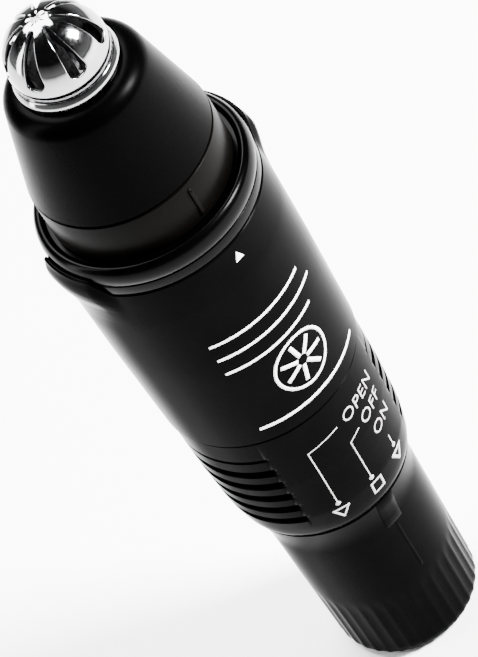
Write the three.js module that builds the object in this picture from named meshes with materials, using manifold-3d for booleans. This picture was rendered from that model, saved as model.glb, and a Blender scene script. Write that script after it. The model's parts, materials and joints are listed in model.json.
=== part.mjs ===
// A battery nose hair trimmer, standing on the flat end of its rear cap.
// Millimetres, +Z up along the body, the front (printed side) faces -Y, origin at the centre of the base.
import * as THREE from "three";
import { mergeVertices } from "three/addons/utils/BufferGeometryUtils.js";
import Module from "manifold-3d";

const wasm = await Module();
wasm.setup();

// ---- Driving dimensions ----
const BARREL_R = 13.25; // barrel radius under the collar
const BARREL_FOOT_R = 12.6; // barrel radius at its lower seam
const EAR_OUT = 1.15; // how far the two side ears stand out past the barrel
const EAR_RISE = 3.0; // how far the ears rise above the barrel's top seam
const CAP_R = 9.8; // rear cap radius under its flare
const CAP_FOOT_R = 9.27; // rear cap radius at the base
const CELL_R = 7.1; // AA cell
const CELL_LENGTH = 49.5; // AA cell without its button
const CELL_BUTTON = 1.0;
const CELL_BUTTON_R = 2.75;
const CELL_EDGE = 0.6; // bevel of the cell's ends
const DOME_R = 6.05; // outer blade
const SLOTS = 7; // slots in the outer blade
const SLOT_PHASE_DEG = -12; // first slot, from the front towards +X
const WALL = 1.2; // general moulding wall

// Heights of the seams, from the base up
const CAP_FLARE_Z = 23.6; // rear cap starts to flare
const SLEEVE_Z = 29.0; // lower edge of the grip sleeve
const BARREL_Z = 49.8; // seam of grip sleeve and barrel
const COLLAR_Z = 80.75; // seam of barrel and collar
const HEAD_Z = 84.8; // foot of the head
const CONE_Z = 90.75; // seam of head collar and head cap
const MOUTH_Z = 104.7; // top of the head cap
const DOME_CENTRE_Z = 107.7; // centre of the dome's sphere

const GAP = 0.3; // clearance between neighbouring pieces
const FIT = 0.1; // clearance of a piece that sits tight on its own axis
const OUTER_SEGMENTS = 36; // facets round the visible shells
const INNER_SEGMENTS = 24; // facets round hidden pieces
const FINE_SEGMENTS = 12; // facets round shafts and screws
const DOME_SEGMENTS = 32; // facets round the outer blade and its bezel

// ---- Materials ----
function finish(name, color, roughness, metalness) {
  return new THREE.MeshStandardMaterial({ name, color, roughness, metalness });
}
const BLACK = finish("black_satin_plastic", 0x17171a, 0.38, 0);
const BLACK_MATT = finish("black_matt_plastic", 0x0f0f11, 0.55, 0);
const CHROME = finish("chrome", 0xdfe2e6, 0.07, 1);
const STEEL = finish("steel", 0xb4b7bb, 0.28, 1);
const BRASS = finish("brass", 0xc9a34e, 0.3, 1);
const GREY = finish("grey_plastic", 0x5a5d61, 0.5, 0);
const WHITE = finish("white_plastic", 0xdedcd4, 0.45, 0);
const COPPER = finish("copper_winding", 0xa8602f, 0.35, 0.9);
const RUBBER = finish("rubber", 0x1c1c1c, 0.85, 0);
const CELL = finish("cell_label", 0x2f5f8a, 0.35, 0.1);
const MAGNET = finish("ferrite", 0x2b2b2e, 0.6, 0.2);

// ---- Solids ----
const trimmer = new THREE.Group();

function add(name, geometry, material) {
  const mesh = new THREE.Mesh(geometry, material);
  mesh.name = name;
  trimmer.add(mesh);
  return mesh;
}

// A closed profile of [radius, height] pairs, counter-clockwise with the radius to the right, turned about Z.
// The angle 0 is at the front (-Y) and grows towards +X.
function turned(profile, segments = INNER_SEGMENTS) {
  const points = profile.map(([r, z]) => new THREE.Vector2(r, z));
  const closes = profile[0][0] > 0 || profile[profile.length - 1][0] > 0;
  if (closes) points.push(points[0].clone());
  return new THREE.LatheGeometry(points, segments).rotateX(Math.PI / 2);
}

function tube(inner, outer, bottom, top, segments = INNER_SEGMENTS) {
  return turned([[inner, bottom], [outer, bottom], [outer, top], [inner, top]], segments);
}

function rod(radius, bottom, top, segments = FINE_SEGMENTS) {
  return turned([[0, bottom], [radius, bottom], [radius, top], [0, top]], segments);
}

// Points of an arc in a profile, from one angle to another in degrees.
function arc(centreR, centreZ, radius, fromDeg, toDeg, steps) {
  return Array.from({ length: steps + 1 }, (_, i) => {
    const a = THREE.MathUtils.degToRad(fromDeg + ((toDeg - fromDeg) * i) / steps);
    return [centreR + radius * Math.cos(a), centreZ + radius * Math.sin(a)];
  });
}

function box(width, depth, bottom, top, x = 0, y = 0) {
  return new THREE.BoxGeometry(width, depth, top - bottom).translate(x, y, (bottom + top) / 2);
}

// Puts a geometry made at the front (-Y) at another angle round the axis.
function at(angleDeg, geometry) {
  return geometry.rotateZ(THREE.MathUtils.degToRad(angleDeg));
}

function solid(geometry) {
  const bare = geometry.clone();
  bare.deleteAttribute("normal");
  bare.deleteAttribute("uv");
  const merged = mergeVertices(bare, 1e-4);
  return new wasm.Manifold(
    new wasm.Mesh({
      numProp: 3,
      vertProperties: merged.attributes.position.array,
      triVerts: new Uint32Array(merged.index.array),
    }),
  );
}

function surface(manifold) {
  const mesh = manifold.getMesh();
  return new THREE.BufferGeometry()
    .setAttribute("position", new THREE.BufferAttribute(mesh.vertProperties, 3))
    .setIndex(new THREE.BufferAttribute(mesh.triVerts, 1));
}

function cut(base, ...tools) {
  return surface(tools.reduce((left, tool) => left.subtract(solid(tool)), solid(base)));
}

function join(base, ...more) {
  return surface(more.reduce((sum, piece) => sum.add(solid(piece)), solid(base)));
}

const smooth = (t) => THREE.MathUtils.smoothstep(t, 0, 1);

// A wire wound about Z: radius and height are functions of the share of the length, 0 to 1.
function coil(turns, radiusAt, heightAt, wire, stepsPerTurn = 12, sides = 6) {
  class Helix extends THREE.Curve {
    getPoint(t, target = new THREE.Vector3()) {
      const a = turns * 2 * Math.PI * t;
      return target.set(radiusAt(t) * Math.cos(a), radiusAt(t) * Math.sin(a), heightAt(t));
    }
  }
  const section = new THREE.Shape();
  section.absarc(0, 0, wire, 0, 2 * Math.PI, false);
  return new THREE.ExtrudeGeometry(section, {
    steps: Math.round(turns * stepsPerTurn),
    curveSegments: sides,
    extrudePath: new Helix(),
    bevelEnabled: false,
  });
}

// ---- Rear cap: battery tube with a flared rim, a neck that enters the grip sleeve, and the marker ridge ----
const CAP_BORE = CELL_R + 0.7;
const CAP_FLOOR = 2.0;
const CAP_RIM_R = 10.75;
const CAP_RIM_Z = SLEEVE_Z - GAP;
const NECK_R = 9.0;
const NECK_TOP = 44;
const FOOT_ROUND = 1.5;
const SEAL_Z = 32.4;
const SEAL_GROOVE = 0.4;
const KEY_ANGLES = [90, 270]; // the switch ring's keys sit in slots in the neck
const KEY_WIDTH = 2.4;
const KEY_SLOT_Z = 36.2;
const MARK_WIDTH = 2.6;
const MARK_LENGTH = 5.6;
const MARK_HEIGHT = 0.45;

// The flare is an S curve from the tube out to the rim.
const capFlare = [0, 0.2, 0.4, 0.6, 0.8, 1].map((share) => [
  THREE.MathUtils.lerp(CAP_R, CAP_RIM_R, smooth(0.5 * share) * 2),
  THREE.MathUtils.lerp(CAP_FLARE_Z, CAP_RIM_Z, share),
]);

function rearCap() {
  const shell = turned(
    [
      [0, 0],
      ...arc(CAP_FOOT_R - FOOT_ROUND, FOOT_ROUND, FOOT_ROUND, -90, 0, 4),
      ...capFlare,
      [NECK_R, CAP_RIM_Z],
      [NECK_R, SEAL_Z - SEAL_GROOVE],
      [NECK_R - SEAL_GROOVE, SEAL_Z - SEAL_GROOVE],
      [NECK_R - SEAL_GROOVE, SEAL_Z + SEAL_GROOVE],
      [NECK_R, SEAL_Z + SEAL_GROOVE],
      [NECK_R, NECK_TOP],
      [CAP_BORE, NECK_TOP],
      [CAP_BORE, CAP_FLOOR],
      [0, CAP_FLOOR],
    ],
    OUTER_SEGMENTS,
  );
  const slots = KEY_ANGLES.map((angle) =>
    at(angle, box(KEY_WIDTH + 2 * GAP, 4, KEY_SLOT_Z, NECK_TOP + 1, 0, -NECK_R)),
  );
  const ridgeFoot = CAP_RIM_Z - MARK_LENGTH;
  const ridgeDepth = CAP_RIM_R + MARK_HEIGHT - (CAP_R - 0.6);
  const block = box(MARK_WIDTH, ridgeDepth, ridgeFoot, CAP_RIM_Z, 0, -(CAP_R - 0.6 + ridgeDepth / 2));
  const skin = turned(
    [[0, CAP_FLARE_Z - MARK_LENGTH], [CAP_R, CAP_FLARE_Z - MARK_LENGTH], ...capFlare, [0, CAP_RIM_Z]]
      .map(([r, z]) => [r > 0 ? r + MARK_HEIGHT : 0, z]),
    OUTER_SEGMENTS,
  );
  const ridge = surface(solid(block).intersect(solid(skin)));
  return cut(join(shell, ridge), ...slots);
}
add("rear_cap", rearCap(), BLACK);

const PLATE_Z = CAP_FLOOR + 0.1;
const PLATE_TOP = PLATE_Z + 0.4;
const PLATE_R = 6.6;
add("spring_plate", rod(PLATE_R, PLATE_Z, PLATE_TOP, INNER_SEGMENTS), BRASS);

const CELL_Z = 7.2;
const SPRING_WIRE = 0.35;
add(
  "battery_spring",
  coil(
    3.5,
    (t) => 5.4 - 2.2 * t,
    (t) => THREE.MathUtils.lerp(PLATE_TOP + SPRING_WIRE + 0.1, CELL_Z - SPRING_WIRE - 0.1, t),
    SPRING_WIRE,
    12,
    3,
  ),
  STEEL,
);

const CELL_TOP = CELL_Z + CELL_LENGTH;
add(
  "battery",
  turned(
    [
      [0, CELL_Z],
      [CELL_R - CELL_EDGE, CELL_Z],
      [CELL_R, CELL_Z + CELL_EDGE],
      [CELL_R, CELL_TOP - CELL_EDGE],
      [CELL_R - CELL_EDGE, CELL_TOP],
      [CELL_BUTTON_R, CELL_TOP],
      [CELL_BUTTON_R, CELL_TOP + CELL_BUTTON],
      [0, CELL_TOP + CELL_BUTTON],
    ],
    INNER_SEGMENTS,
  ),
  CELL,
);

add("cap_seal", turned(arc(NECK_R - 0.03, SEAL_Z, 0.22, 0, 300, 5), OUTER_SEGMENTS), RUBBER);

// The return conductor runs up the cap's bore behind the cell.
const STRIP_R = CELL_R + 0.35;
add("negative_strip", box(2.4, 0.25, PLATE_TOP + 0.1, NECK_TOP - 0.4, 0, STRIP_R), BRASS);

// ---- Switch ring: turns with the rear cap inside the grip sleeve ----
const RING_Z = [36.6, 43.2];
const RING_IN = NECK_R + 0.2;
const RING_OUT = 9.9;
function switchRing() {
  const ring = tube(RING_IN, RING_OUT, RING_Z[0], RING_Z[1], OUTER_SEGMENTS);
  const keys = KEY_ANGLES.map((angle) =>
    at(angle, box(KEY_WIDTH, 1.4, RING_Z[0], RING_Z[1], 0, -(RING_IN - 0.4))),
  );
  return join(ring, ...keys);
}
add("switch_ring", switchRing(), GREY);
add("switch_contact", box(3.0, 0.5, RING_Z[1] + FIT, RING_Z[1] + 2.2, 0, 9.55), BRASS);

// ---- Grip sleeve: grooved at the sides, smooth at the front where the three positions are marked ----
const SLEEVE_TOP = BARREL_Z - GAP / 2;
const SLEEVE_LIP = RING_Z[0] - GAP;
const SLEEVE_BORE = 10.2;
const SLEEVE_OUTLINE = [
  [10.9, SLEEVE_Z],
  [11.25, SLEEVE_Z + 1.0],
  [11.5, SLEEVE_Z + 2.4],
  [11.83, 33.5],
  [12.2, 40.6],
  [12.36, SLEEVE_TOP],
];
const GROOVES = 5;
const GROOVE_FIRST_Z = 33.5;
const GROOVE_PITCH = 2.54;
const GROOVE_HEIGHT = 1.3;
const GROOVE_DEPTH = 0.75;
const GROOVE_HALF_ANGLE = 45;
const HAIRLINE_HEIGHT = 0.5; // the thin groove above the five deep ones
const HAIRLINE_DEPTH = 0.3;

// The sleeve's outer radius at a height.
function sleeveRadius(z) {
  const above = SLEEVE_OUTLINE.findIndex(([, top]) => top >= z);
  const [[r0, z0], [r1, z1]] = SLEEVE_OUTLINE.slice(above - 1, above + 1);
  return THREE.MathUtils.lerp(r0, r1, (z - z0) / (z1 - z0));
}

// A ring sector that cuts one groove on one side.
function grooveTool(side, z, height, depth) {
  const start = THREE.MathUtils.degToRad(side - GROOVE_HALF_ANGLE - 90);
  const end = THREE.MathUtils.degToRad(side + GROOVE_HALF_ANGLE - 90);
  const shape = new THREE.Shape();
  shape.absarc(0, 0, sleeveRadius(z) - depth, start, end, false);
  shape.absarc(0, 0, BARREL_R + 2, end, start, true);
  const options = { depth: height, curveSegments: 5, bevelEnabled: false };
  return new THREE.ExtrudeGeometry(shape, options).translate(0, 0, z - height / 2);
}

function gripSleeve() {
  const body = turned(
    [
      [NECK_R + GAP, SLEEVE_Z],
      ...SLEEVE_OUTLINE,
      [SLEEVE_BORE, SLEEVE_TOP],
      [SLEEVE_BORE, SLEEVE_LIP],
      [NECK_R + GAP, SLEEVE_LIP],
    ],
    OUTER_SEGMENTS,
  );
  const tools = [90, 270].flatMap((side) => {
    const deep = Array.from({ length: GROOVES }, (_, i) =>
      grooveTool(side, GROOVE_FIRST_Z + i * GROOVE_PITCH, GROOVE_HEIGHT, GROOVE_DEPTH),
    );
    const hairlineZ = GROOVE_FIRST_Z + GROOVES * GROOVE_PITCH;
    return [...deep, grooveTool(side, hairlineZ, HAIRLINE_HEIGHT, HAIRLINE_DEPTH)];
  });
  return cut(body, ...tools);
}
add("grip_sleeve", gripSleeve(), BLACK);

// ---- Barrel: round, with an ear on each side that flares out and rises beside the collar ----
const BARREL_TOP = COLLAR_Z - GAP / 2;
const BARREL_FOOT = BARREL_Z + GAP / 2;
const BARREL_BORE = 11.3;
const BARREL_MIDDLE = [13.14, 65]; // radius and height half way up, where the taper eases
const BARREL_BULGE_R = 13.33; // the widest part, at the foot of the ears
const EAR_FOOT_Z = 75.0;
const EAR_WIDEST_Z = 81.3;
const EAR_INNER_R = 13.6;
const EAR_HALF_ANGLE = 25;
const COLLAR_R = 13.2;

// One ear: a sector between the barrel's face and an outer face that swells and closes in on the collar.
function ear(side) {
  const start = THREE.MathUtils.degToRad(side - EAR_HALF_ANGLE - 90);
  const end = THREE.MathUtils.degToRad(side + EAR_HALF_ANGLE - 90);
  const sector = new THREE.Shape();
  sector.moveTo(0, 0);
  sector.lineTo((BARREL_R + 4) * Math.cos(start), (BARREL_R + 4) * Math.sin(start));
  sector.absarc(0, 0, BARREL_R + 4, start, end, false);
  const height = BARREL_TOP + EAR_RISE - EAR_FOOT_Z;
  const wedge = new THREE.ExtrudeGeometry(sector, { depth: height, curveSegments: 8, bevelEnabled: false });
  const flare = turned(
    [
      [BARREL_R - 0.6, EAR_FOOT_Z],
      [BARREL_R - 0.02, EAR_FOOT_Z],
      [BARREL_R + 0.4 * EAR_OUT, EAR_FOOT_Z + 3],
      [BARREL_R + EAR_OUT, EAR_WIDEST_Z],
      [BARREL_R + 0.65 * EAR_OUT, BARREL_TOP + EAR_RISE - 0.5],
      [EAR_INNER_R + 0.2, BARREL_TOP + EAR_RISE],
      [EAR_INNER_R, BARREL_TOP + EAR_RISE],
      [EAR_INNER_R, BARREL_TOP - 0.4],
      [BARREL_R - 0.6, BARREL_TOP - 0.4],
    ],
    OUTER_SEGMENTS,
  );
  return surface(solid(wedge.translate(0, 0, EAR_FOOT_Z)).intersect(solid(flare)));
}

// A triangle set in the front of the barrel shows where the head's rib belongs.
const POINTER_Z = 78.7;
const POINTER_SIZE = 1.3;
const POINTER_FACE_R = 13.42;
const POINTER_DEPTH = 0.5;
function pointerPrism(size, depth) {
  const triangle = new THREE.Shape();
  triangle.moveTo(-size / 2, -size / 2);
  triangle.lineTo(size / 2, -size / 2);
  triangle.lineTo(0, size / 2);
  const plate = new THREE.ExtrudeGeometry(triangle, { depth, bevelEnabled: false });
  return plate.rotateX(Math.PI / 2).translate(0, -POINTER_FACE_R + depth, POINTER_Z);
}

function barrel() {
  const shell = turned(
    [
      [BARREL_BORE, BARREL_FOOT],
      [BARREL_FOOT_R, BARREL_FOOT],
      BARREL_MIDDLE,
      [BARREL_BULGE_R, EAR_FOOT_Z],
      [BARREL_R, BARREL_TOP],
      [BARREL_BORE, BARREL_TOP],
    ],
    OUTER_SEGMENTS,
  );
  return cut(join(shell, ear(90), ear(270)), pointerPrism(POINTER_SIZE + 2 * FIT, POINTER_DEPTH + FIT));
}
add("barrel", barrel(), BLACK);
add("pointer_mark", pointerPrism(POINTER_SIZE, POINTER_DEPTH), WHITE);

// ---- Collar: the shoulder between barrel and head, a plain rim with a rounded bead above it ----
const COLLAR_RIM_TOP = 82.2;
const COLLAR_BORE = 10.4;
const BEAD_R = 12.5; // the crest of the bead
const BEAD_WIDTH = 0.9; // from the crest out to the widest point
const BEAD_Z = 83.4; // height of the widest point
const BEAD_TOP = 85.0;
const COLLAR_TOP = HEAD_Z - GAP;
const bead = arc(0, 0, 1, -46, 138, 8).map(([across, up]) => [
  BEAD_R + BEAD_WIDTH * across,
  BEAD_Z + (BEAD_TOP - BEAD_Z) * up,
]);
add(
  "collar",
  turned(
    [
      [COLLAR_BORE, COLLAR_Z + GAP / 2],
      [COLLAR_R, COLLAR_Z + GAP / 2],
      [COLLAR_R, COLLAR_RIM_TOP],
      ...bead,
      [COLLAR_BORE, COLLAR_TOP],
    ],
    OUTER_SEGMENTS,
  ),
  BLACK_MATT,
);

// ---- Motor and its carrier ----
const MOTOR_Z = 59.6; // underside of the end bell
const BELL_TOP = 62.0;
const CAN_TOP = 81.6;
const MOTOR_R = 10.05;
const MOTOR_FLAT = 7.55; // half width across the can's flats
const CAN_WALL = 0.7;
const BOSS_R = 3.1;
const BOSS_TOP = CAN_TOP + 1.5;
const BOSS_BORE = 2.0;
const BUSHING_R = 1.9;
const COMMUTATOR_R = 2.1;
const ARMATURE_R = 6.7;
const MAGNET_IN_R = 7.1;
const MAGNET_HALF_DEG = 38;
const TERMINAL_X = 5.2;
const SHAFT_R = 1.0;
const SCREW_X = 6.2; // screws that hold the head seat to the motor
const SCREW_R = 0.8;
const SHAFT_Z = [60.6, 89.8];

// A round bar with two flats, front and back, as small motors have.
function flattened(radius, half, bottom, top) {
  const round = rod(radius, bottom, top, OUTER_SEGMENTS);
  const slab = box(4 * radius, 2 * half, bottom - 1, top + 1);
  return surface(solid(round).intersect(solid(slab)));
}

// A hole for one of the two screws, from 2 mm below a height to 1 mm above it.
function screwHole(side, radius, height) {
  return rod(radius, height - 2, height + 1).translate(side * SCREW_X, 0, 0);
}

const BULKHEAD_Z = CELL_TOP + CELL_BUTTON + 0.9;
add(
  "motor_carrier",
  cut(
    rod(BARREL_BORE - FIT, BARREL_Z + 0.6, CAN_TOP - 2.4, OUTER_SEGMENTS),
    flattened(MOTOR_R + 0.15, MOTOR_FLAT + 0.15, MOTOR_Z - FIT, CAN_TOP),
    rod(CELL_R + 0.8, BARREL_Z - 1, BULKHEAD_Z, INNER_SEGMENTS),
    box(2.6, 4.0, BULKHEAD_Z - 1, MOTOR_Z + 1),
    box(1.0, 2.6, BULKHEAD_Z - 1, MOTOR_Z + 1, -TERMINAL_X, 0),
    box(1.0, 2.6, BULKHEAD_Z - 1, MOTOR_Z + 1, TERMINAL_X, 0),
  ),
  GREY,
);

const endBell = flattened(MOTOR_R, MOTOR_FLAT, MOTOR_Z, BELL_TOP);
add("motor_end_bell", cut(endBell, rod(SHAFT_R + 0.15, SHAFT_Z[0] - GAP, BELL_TOP + 1)), WHITE);
add(
  "motor_can",
  surface(
    solid(flattened(MOTOR_R, MOTOR_FLAT, BELL_TOP + 0.05, CAN_TOP))
      .subtract(solid(flattened(MOTOR_R - CAN_WALL, MOTOR_FLAT - CAN_WALL, BELL_TOP - 1, CAN_TOP - CAN_WALL)))
      .add(solid(rod(BOSS_R, CAN_TOP - CAN_WALL, BOSS_TOP)))
      .subtract(solid(rod(BOSS_BORE, CAN_TOP - 2, BOSS_TOP + 1)))
      .subtract(solid(screwHole(1, SCREW_R + 0.1, CAN_TOP)))
      .subtract(solid(screwHole(-1, SCREW_R + 0.1, CAN_TOP))),
  ),
  STEEL,
);
add("motor_bushing", tube(SHAFT_R + 0.1, BUSHING_R, CAN_TOP - CAN_WALL, BOSS_TOP, FINE_SEGMENTS), BRASS);

const MAGNET_Z = [64.2, 79.2];
for (const [name, side] of [["motor_magnet_left", -1], ["motor_magnet_right", 1]]) {
  const arcHalf = THREE.MathUtils.degToRad(MAGNET_HALF_DEG);
  const middle = side > 0 ? 0 : Math.PI;
  const shape = new THREE.Shape();
  shape.absarc(0, 0, MOTOR_R - CAN_WALL - 0.25, middle - arcHalf, middle + arcHalf, false);
  shape.absarc(0, 0, MAGNET_IN_R, middle + arcHalf, middle - arcHalf, true);
  const depth = MAGNET_Z[1] - MAGNET_Z[0];
  const magnet = new THREE.ExtrudeGeometry(shape, { depth, curveSegments: 8, bevelEnabled: false });
  add(name, magnet.translate(0, 0, MAGNET_Z[0]), MAGNET);
}

for (const [name, side] of [["motor_terminal_left", -1], ["motor_terminal_right", 1]]) {
  add(name, box(0.4, 2.0, BULKHEAD_Z - 0.5, MOTOR_Z - 0.2, side * TERMINAL_X, 0), BRASS);
}

add("motor_shaft", rod(SHAFT_R, SHAFT_Z[0], SHAFT_Z[1]), STEEL);
const commutator = tube(SHAFT_R + 0.05, COMMUTATOR_R, BELL_TOP + 0.4, BELL_TOP + 2.2, FINE_SEGMENTS);
add("motor_commutator", commutator, COPPER);

function armature() {
  const core = tube(SHAFT_R + 0.05, ARMATURE_R, MAGNET_Z[0] + 1, MAGNET_Z[1] - 1, INNER_SEGMENTS);
  const gaps = [0, 120, 240].map((angle) => at(angle, box(1.6, 4.2, MAGNET_Z[0], MAGNET_Z[1], 0, -5.4)));
  return cut(core, ...gaps);
}
add("motor_armature", armature(), COPPER);

// ---- Contacts ----
add("positive_contact", box(2.0, 3.4, CELL_TOP + CELL_BUTTON + 0.1, MOTOR_Z - 0.3, 0, 0), BRASS);
add("negative_contact", box(3.0, 0.5, RING_Z[1] + 2.4, BARREL_Z + 0.4, 0, 9.55), BRASS);

// ---- Head seat: a plate inside the collar, with the spigot that the head turns and slides on ----
const DECK_Z = CAN_TOP + GAP;
const DECK_TOP = DECK_Z + 1.2;
const SPIGOT_R = 9.4;
const SPIGOT_TOP = 89.2;
function headSeat() {
  const seat = turned(
    [
      [BOSS_R + GAP, DECK_Z],
      [COLLAR_BORE - GAP, DECK_Z],
      [COLLAR_BORE - GAP, DECK_TOP],
      [SPIGOT_R, DECK_TOP],
      [SPIGOT_R, SPIGOT_TOP],
      [SPIGOT_R - WALL, SPIGOT_TOP],
      [SPIGOT_R - WALL, DECK_TOP],
      [BOSS_R + GAP, DECK_TOP],
    ],
    OUTER_SEGMENTS,
  );
  return cut(seat, screwHole(-1, SCREW_R + 0.2, DECK_TOP), screwHole(1, SCREW_R + 0.2, DECK_TOP));
}
add("head_seat", headSeat(), GREY);

function seatScrew(side) {
  const screw = turned(
    [
      [0, CAN_TOP - 0.6],
      [SCREW_R, CAN_TOP - 0.6],
      [SCREW_R, DECK_TOP + 0.05],
      [1.5, DECK_TOP + 0.05],
      [1.5, DECK_TOP + 0.6],
      [1.0, DECK_TOP + 0.9],
      [0, DECK_TOP + 0.9],
    ],
    FINE_SEGMENTS,
  );
  const driverSlot = box(0.35, 4, DECK_TOP + 0.55, DECK_TOP + 2);
  return cut(screw, driverSlot).translate(side * SCREW_X, 0, 0);
}
add("seat_screw_left", seatScrew(-1), STEEL);
add("seat_screw_right", seatScrew(1), STEEL);

// ---- Drive coupling, spring and rotary cutter ----
const COUPLING_Z = [85.4, 92.1];
const POST = 2.6; // side of the square drive post
const POST_TOP = 98.9;
add(
  "drive_coupling",
  surface(
    solid(rod(3.0, COUPLING_Z[0], COUPLING_Z[1], INNER_SEGMENTS))
      .add(solid(box(POST, POST, COUPLING_Z[1] - 0.5, POST_TOP)))
      .subtract(solid(rod(SHAFT_R + 0.05, COUPLING_Z[0] - 1, SHAFT_Z[1] + 0.1))),
  ),
  WHITE,
);

const BLADE_TRAVEL = 0.8; // how far the cutter can be pressed down on its spring
const HUB_Z = [96.9, 102.3];
const HUB_R = 2.9;
const BLADE_SPRING_R = 2.35;
const BLADE_SPRING_WIRE = 0.22;
add(
  "blade_spring",
  coil(
    4,
    () => BLADE_SPRING_R,
    (t) => THREE.MathUtils.lerp(COUPLING_Z[1] + BLADE_SPRING_WIRE + FIT, HUB_Z[0] - BLADE_SPRING_WIRE - FIT, t),
    BLADE_SPRING_WIRE,
    12,
    3,
  ),
  STEEL,
);
const hubSocket = box(POST + 0.5, POST + 0.5, HUB_Z[0] - 1, POST_TOP + BLADE_TRAVEL + 0.4);
add("cutter_hub", cut(rod(HUB_R, HUB_Z[0], HUB_Z[1], INNER_SEGMENTS), hubSocket), WHITE);

const DOME_WALL = 0.45;
const CUTTER_R = DOME_R - DOME_WALL - 0.35;
const CUTTER_NECK_R = 4.6; // the fins' half width inside the outer blade's skirt
const CUTTER_EDGE_DEG = 24; // the cutting edge starts this far above the dome's equator, clear of the skirt
const CUTTER_DISC = [HUB_Z[1] + 0.05, HUB_Z[1] + 0.75];
const CUTTER_BLADES = 4;
const CUTTER_PHASE_DEG = 12;
const FIN = 0.5;

// One pair of opposite fins: a plate whose top follows the inside of the dome.
function finPair(angleDeg) {
  const edge = THREE.MathUtils.degToRad(CUTTER_EDGE_DEG);
  const outline = new THREE.Shape();
  outline.moveTo(-CUTTER_NECK_R, CUTTER_DISC[1] - 0.2);
  outline.lineTo(CUTTER_NECK_R, CUTTER_DISC[1] - 0.2);
  outline.lineTo(CUTTER_NECK_R, DOME_CENTRE_Z);
  outline.absarc(0, DOME_CENTRE_Z, CUTTER_R, edge, Math.PI - edge, false);
  outline.lineTo(-CUTTER_NECK_R, DOME_CENTRE_Z);
  const plate = new THREE.ExtrudeGeometry(outline, { depth: FIN, curveSegments: 12, bevelEnabled: false });
  return at(angleDeg, plate.translate(0, 0, -FIN / 2).rotateX(Math.PI / 2));
}

function innerBlade() {
  const pairs = Array.from({ length: CUTTER_BLADES / 2 }, (_, i) =>
    finPair(CUTTER_PHASE_DEG + (360 / CUTTER_BLADES) * i),
  );
  const core = turned([
    [0, CUTTER_DISC[1] - 1],
    [3.0, CUTTER_DISC[1] + 1.4],
    [3.0, DOME_CENTRE_Z + 1],
    [0, DOME_CENTRE_Z + 3.2],
  ]);
  const disc = rod(CUTTER_NECK_R + 0.1, CUTTER_DISC[0], CUTTER_DISC[1], INNER_SEGMENTS);
  const spindle = rod(0.9, CUTTER_DISC[1] - 0.1, DOME_CENTRE_Z + CUTTER_R - 0.3);
  return join(cut(join(...pairs), core), disc, spindle);
}
add("inner_blade", innerBlade(), STEEL);

// ---- Head: outer blade, bezel, cap and retainer lift off together ----
const SKIRT_R = 5.5;
const SKIRT_Z = 100.9;
const BEZEL_R = 6.4;
const BEZEL_Z = [MOUTH_Z + 0.1, MOUTH_Z + 1.5];
const DOME_FOOT_Z = BEZEL_Z[1] + 0.1;
const SLOT_FOOT_Z = 107.2;
const SLOT_INNER = 1.6; // radius where each slot starts at the crown
const SLOT_NARROW = 0.7;
const SLOT_WIDE = 2.3;

// A teardrop, narrow at the crown and wide at the outside, cut straight down through the dome.
function slotTool(angleDeg) {
  const shape = new THREE.Shape();
  shape.moveTo(-SLOT_NARROW / 2, -SLOT_INNER);
  shape.lineTo(-SLOT_WIDE / 2, -DOME_R * 0.85);
  shape.lineTo(-SLOT_WIDE / 2, -DOME_R - 1);
  shape.lineTo(SLOT_WIDE / 2, -DOME_R - 1);
  shape.lineTo(SLOT_WIDE / 2, -DOME_R * 0.85);
  shape.lineTo(SLOT_NARROW / 2, -SLOT_INNER);
  shape.absarc(0, -SLOT_INNER, SLOT_NARROW / 2, 0, Math.PI, false);
  const depth = DOME_CENTRE_Z + DOME_R + 1 - SLOT_FOOT_Z;
  const tool = new THREE.ExtrudeGeometry(shape, { depth, curveSegments: 2, bevelEnabled: false });
  return at(angleDeg, tool.translate(0, 0, SLOT_FOOT_Z));
}

function outerBlade() {
  const inner = DOME_R - DOME_WALL;
  const shell = turned(
    [
      [SKIRT_R - DOME_WALL, SKIRT_Z],
      [SKIRT_R, SKIRT_Z],
      [SKIRT_R, DOME_FOOT_Z],
      [DOME_R, DOME_FOOT_Z],
      ...arc(0, DOME_CENTRE_Z, DOME_R, 0, 90, 7),
      ...arc(0, DOME_CENTRE_Z, inner, 90, 0, 7),
      [inner, DOME_FOOT_Z + 0.3],
      [SKIRT_R - DOME_WALL, DOME_FOOT_Z],
    ],
    DOME_SEGMENTS,
  );
  const tools = Array.from({ length: SLOTS }, (_, i) => slotTool(SLOT_PHASE_DEG + (360 / SLOTS) * i));
  return cut(shell, ...tools);
}
add("outer_blade", outerBlade(), CHROME);

add(
  "head_bezel",
  turned(
    [
      [SKIRT_R + FIT, BEZEL_Z[0]],
      [BEZEL_R - 0.2, BEZEL_Z[0]],
      [BEZEL_R, BEZEL_Z[0] + 0.3],
      [BEZEL_R, BEZEL_Z[1] - 0.35],
      [BEZEL_R - 0.25, BEZEL_Z[1]],
      [SKIRT_R + FIT, BEZEL_Z[1]],
    ],
    DOME_SEGMENTS,
  ),
  CHROME,
);

const CONE_R = 11.33;
const CAP_TOP_ROUND = 2.6;
const CAP_TOP_ROUND_R = 6.2; // radius of the round's centre
const CONE_FOOT = CONE_Z + GAP / 2;
const capTopRound = arc(CAP_TOP_ROUND_R, MOUTH_Z - 0.05 - CAP_TOP_ROUND, CAP_TOP_ROUND, 12, 86, 6);
const CONE_TOP_R = capTopRound[0][0];
const CONE_TOP_Z = capTopRound[0][1];
add(
  "head_cap",
  turned(
    [
      [CONE_R - WALL, CONE_FOOT],
      [CONE_R, CONE_FOOT],
      ...capTopRound,
      [SKIRT_R + FIT, MOUTH_Z],
      [SKIRT_R + FIT, MOUTH_Z - 1.6],
      [CONE_TOP_R - WALL, CONE_TOP_Z - 1],
    ],
    OUTER_SEGMENTS,
  ),
  BLACK_MATT,
);

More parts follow.
